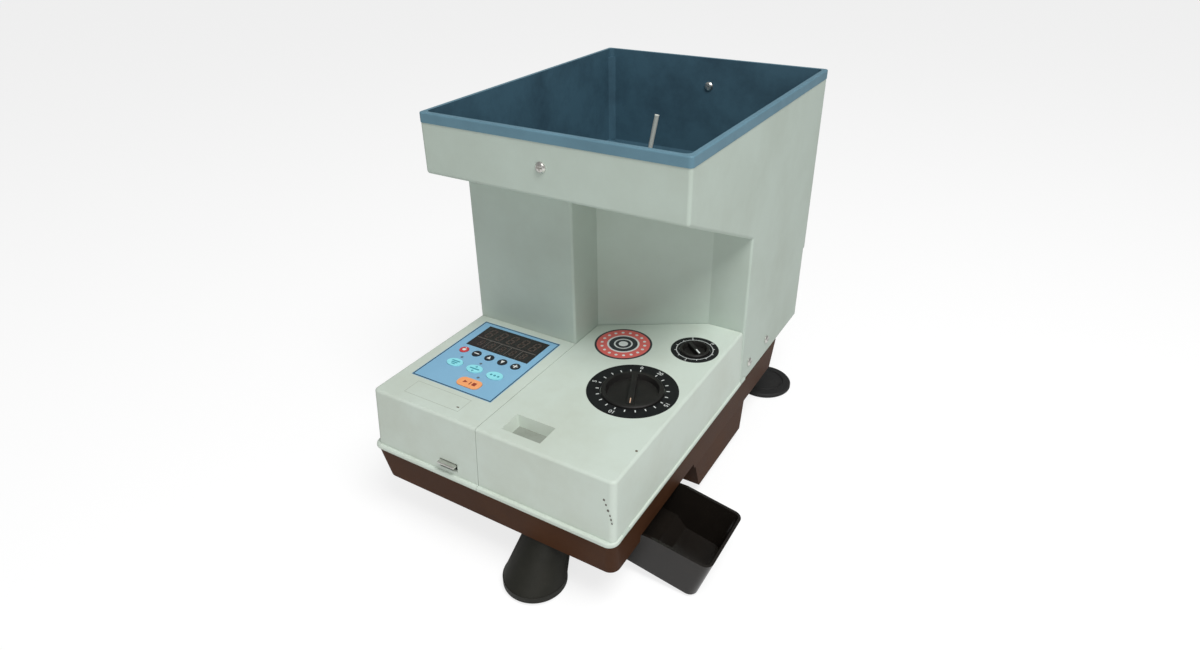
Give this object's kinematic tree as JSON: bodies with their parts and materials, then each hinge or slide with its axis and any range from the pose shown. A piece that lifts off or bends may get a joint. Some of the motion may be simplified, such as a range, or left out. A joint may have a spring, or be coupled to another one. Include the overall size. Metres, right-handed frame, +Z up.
{
  "type": "coin counter",
  "caption": "Electric coin counter with a rear hopper, display and key panel, hinged cover with two setting dials, slide-in reject tray and a flared bag spout.",
  "frame": {"origin": "middle of the outline in plan, on the counter top", "axes": "+X to the machine's right as its user sees it, +Y to its back, +Z up"},
  "size_m": [0.3068, 0.4456, 0.356],
  "materials": {
    "housing_paint": "pale grey-green satin paint",
    "cover_plastic": "pale grey-green moulded plastic",
    "dark_plastic": "dark brown glossy plastic",
    "tray_plastic": "black glossy plastic",
    "spout_plastic": "dark grey plastic",
    "rim_plastic": "blue plastic trim",
    "bin_plastic": "dark blue-grey plastic",
    "label_film": "light blue printed film",
    "window_film": "dark red transparent window",
    "digit_plastic": "grey display blocks",
    "circuit_board": "green board",
    "switch_black": "black plastic",
    "key_red": "red key",
    "key_black": "black key",
    "key_cyan": "cyan key",
    "key_orange": "orange key",
    "steel": "bright steel",
    "zinc_plate": "zinc plated sheet",
    "motor_grey": "grey painted steel",
    "belt_rubber": "black rubber",
    "feet_rubber": "black rubber",
    "knob_plastic": "black moulded plastic",
    "scale_plate": "black printed ring",
    "guide_plastic": "white guide plastic",
    "rod_plastic": "pale rod"
  },
  "bodies": {
    "machine": {"base_pan": "dark_plastic", "rubber_feet": "feet_rubber", "chassis_plate": "zinc_plate", "pan_screws": "steel", "left_cover": "cover_plastic", "control_label": "label_film", "display_window": "window_film", "digit_modules": "digit_plastic", "control_board": "circuit_board", "tact_switches": "switch_black", "hinge_pin": "steel", "hinge_knuckles": "housing_paint", "housing_shell": "housing_paint", "hopper_bin": "bin_plastic", "hopper_rim": "rim_plastic", "spout": "spout_plastic", "drop_chute": "guide_plastic", "reject_chute": "guide_plastic", "coin_track": "zinc_plate", "disc_guard": "guide_plastic", "disc_bearing": "steel", "main_motor": "motor_grey", "drive_belt": "belt_rubber", "transport_belt": "belt_rubber", "gear_motors": "motor_grey", "count_sensor": "switch_black", "feed_belt": "belt_rubber", "feed_frame": "zinc_plate", "power_supply": "circuit_board", "power_inlet": "switch_black"},
    "right_cover": {"right_cover": "cover_plastic", "diameter_scale": "scale_plate", "thickness_scale": "scale_plate"},
    "diameter_dial": {"diameter_knob": "knob_plastic", "diameter_cam": "guide_plastic"},
    "diameter_gate": {"diameter_gate": "zinc_plate"},
    "thickness_dial": {"thickness_knob": "knob_plastic", "thickness_screw": "steel"},
    "thickness_gate": {"thickness_gate": "zinc_plate"},
    "cover_latch": {"cover_latch": "steel"},
    "reject_tray": {"reject_tray": "tray_plastic"},
    "level_rod": {"level_rod": "rod_plastic"},
    "power_rocker": {"power_rocker": "switch_black"},
    "coin_disc": {"coin_disc": "steel", "disc_pulley": "guide_plastic"},
    "motor_pulley": {"motor_pulley": "guide_plastic"},
    "feed_roller_front": {"feed_roller_front": "steel"},
    "feed_roller_rear": {"feed_roller_rear": "steel"},
    "rear_belt_pulley": {"rear_belt_pulley": "guide_plastic"},
    "front_belt_pulley": {"front_belt_pulley": "guide_plastic"},
    "key_red": {"key_red": "key_red"},
    "key_black_1": {"key_black_1": "key_black"},
    "key_black_2": {"key_black_2": "key_black"},
    "key_black_3": {"key_black_3": "key_black"},
    "key_black_4": {"key_black_4": "key_black"},
    "key_cyan_1": {"key_cyan_1": "key_cyan"},
    "key_cyan_2": {"key_cyan_2": "key_cyan"},
    "key_cyan_3": {"key_cyan_3": "key_cyan"},
    "key_orange": {"key_orange": "key_orange"}
  },
  "joints": [
    {"name": "cover_hinge", "type": "hinge", "parent": "machine", "child": "right_cover", "pos_m": [0.09454, -0.0707, 0.0855], "axis": [0, 1, 0], "range_deg": [0, 80]},
    {"name": "diameter_turn", "type": "hinge", "parent": "right_cover", "child": "diameter_dial", "pos_m": [0.04844, -0.0865, 0.14], "axis": [0, 0, 1], "range_deg": [-158, 158]},
    {"name": "diameter_slide", "type": "slide", "parent": "right_cover", "child": "diameter_gate", "axis": [1, 0, 0], "range_m": [-0.00988, 0.00988]},
    {"name": "thickness_turn", "type": "hinge", "parent": "right_cover", "child": "thickness_dial", "pos_m": [0.06694, -0.0013, 0.14], "axis": [0, 0, 1], "range_deg": [-150, 150]},
    {"name": "thickness_slide", "type": "slide", "parent": "right_cover", "child": "thickness_gate", "axis": [0, 0, 1], "range_m": [-0.0015, 0.0015]},
    {"name": "key_red_press", "type": "slide", "parent": "machine", "child": "key_red", "axis": [0, 0, 1], "range_m": [-0.0005, 0], "stiffness_N_per_m": 800, "springref_m": 0.0015},
    {"name": "key_black_1_press", "type": "slide", "parent": "machine", "child": "key_black_1", "axis": [0, 0, 1], "range_m": [-0.0005, 0], "stiffness_N_per_m": 800, "springref_m": 0.0015},
    {"name": "key_black_2_press", "type": "slide", "parent": "machine", "child": "key_black_2", "axis": [0, 0, 1], "range_m": [-0.0005, 0], "stiffness_N_per_m": 800, "springref_m": 0.0015},
    {"name": "key_black_3_press", "type": "slide", "parent": "machine", "child": "key_black_3", "axis": [0, 0, 1], "range_m": [-0.0005, 0], "stiffness_N_per_m": 800, "springref_m": 0.0015},
    {"name": "key_black_4_press", "type": "slide", "parent": "machine", "child": "key_black_4", "axis": [0, 0, 1], "range_m": [-0.0005, 0], "stiffness_N_per_m": 800, "springref_m": 0.0015},
    {"name": "key_cyan_1_press", "type": "slide", "parent": "machine", "child": "key_cyan_1", "axis": [0, 0, 1], "range_m": [-0.0005, 0], "stiffness_N_per_m": 800, "springref_m": 0.0015},
    {"name": "key_cyan_2_press", "type": "slide", "parent": "machine", "child": "key_cyan_2", "axis": [0, 0, 1], "range_m": [-0.0005, 0], "stiffness_N_per_m": 800, "springref_m": 0.0015},
    {"name": "key_cyan_3_press", "type": "slide", "parent": "machine", "child": "key_cyan_3", "axis": [0, 0, 1], "range_m": [-0.0005, 0], "stiffness_N_per_m": 800, "springref_m": 0.0015},
    {"name": "key_orange_press", "type": "slide", "parent": "machine", "child": "key_orange", "axis": [0, 0, 1], "range_m": [-0.0005, 0], "stiffness_N_per_m": 800, "springref_m": 0.0015},
    {"name": "latch_press", "type": "hinge", "parent": "machine", "child": "cover_latch", "pos_m": [-0.06596, -0.1677, 0.0986], "axis": [1, 0, 0], "range_deg": [0, 5.5], "stiffness_Nm_per_rad": 0.5, "springref_deg": -5.73},
    {"name": "tray_slide", "type": "slide", "parent": "machine", "child": "reject_tray", "axis": [1, 0, 0], "range_m": [0, 0.03]},
    {"name": "level_swing", "type": "hinge", "parent": "machine", "child": "level_rod", "pos_m": [-0.05296, 0.1043, 0.2155], "axis": [0, 1, 0], "range_deg": [-10, 15], "stiffness_Nm_per_rad": 0.05, "springref_deg": -1.15},
    {"name": "rocker_tilt", "type": "hinge", "parent": "machine", "child": "power_rocker", "pos_m": [-0.08196, 0.2143, 0.113], "axis": [1, 0, 0], "range_deg": [-14, 0]},
    {"name": "disc_turn", "type": "hinge", "parent": "machine", "child": "coin_disc", "pos_m": [-0.02396, 0.1043, 0.09], "axis": [0, 0, 1], "continuous": true},
    {"name": "motor_turn", "type": "hinge", "parent": "machine", "child": "motor_pulley", "pos_m": [-0.07996, 0.0193, 0.068], "axis": [0, 0, 1], "continuous": true},
    {"name": "feed_front_turn", "type": "hinge", "parent": "machine", "child": "feed_roller_front", "pos_m": [-0.02396, 0.1443, 0.1895], "axis": [1, 0, 0], "continuous": true},
    {"name": "feed_rear_turn", "type": "hinge", "parent": "machine", "child": "feed_roller_rear", "pos_m": [-0.02396, 0.1913, 0.1895], "axis": [1, 0, 0], "continuous": true},
    {"name": "belt_rear_turn", "type": "hinge", "parent": "machine", "child": "rear_belt_pulley", "pos_m": [0.03654, 0.0263, 0.1148], "axis": [1, 0, 0], "continuous": true},
    {"name": "belt_front_turn", "type": "hinge", "parent": "machine", "child": "front_belt_pulley", "pos_m": [0.03654, -0.1417, 0.1148], "axis": [1, 0, 0], "continuous": true}
  ],
  "couplings": [
    {"joint": "diameter_turn", "follows": "diameter_slide", "rad_per_m": -279.25},
    {"joint": "thickness_turn", "follows": "thickness_slide", "rad_per_m": 1745.2},
    {"joint": "motor_turn", "follows": "disc_turn", "ratio": 2.5},
    {"joint": "feed_rear_turn", "follows": "feed_front_turn", "ratio": 1},
    {"joint": "belt_front_turn", "follows": "belt_rear_turn", "ratio": 1}
  ]
}
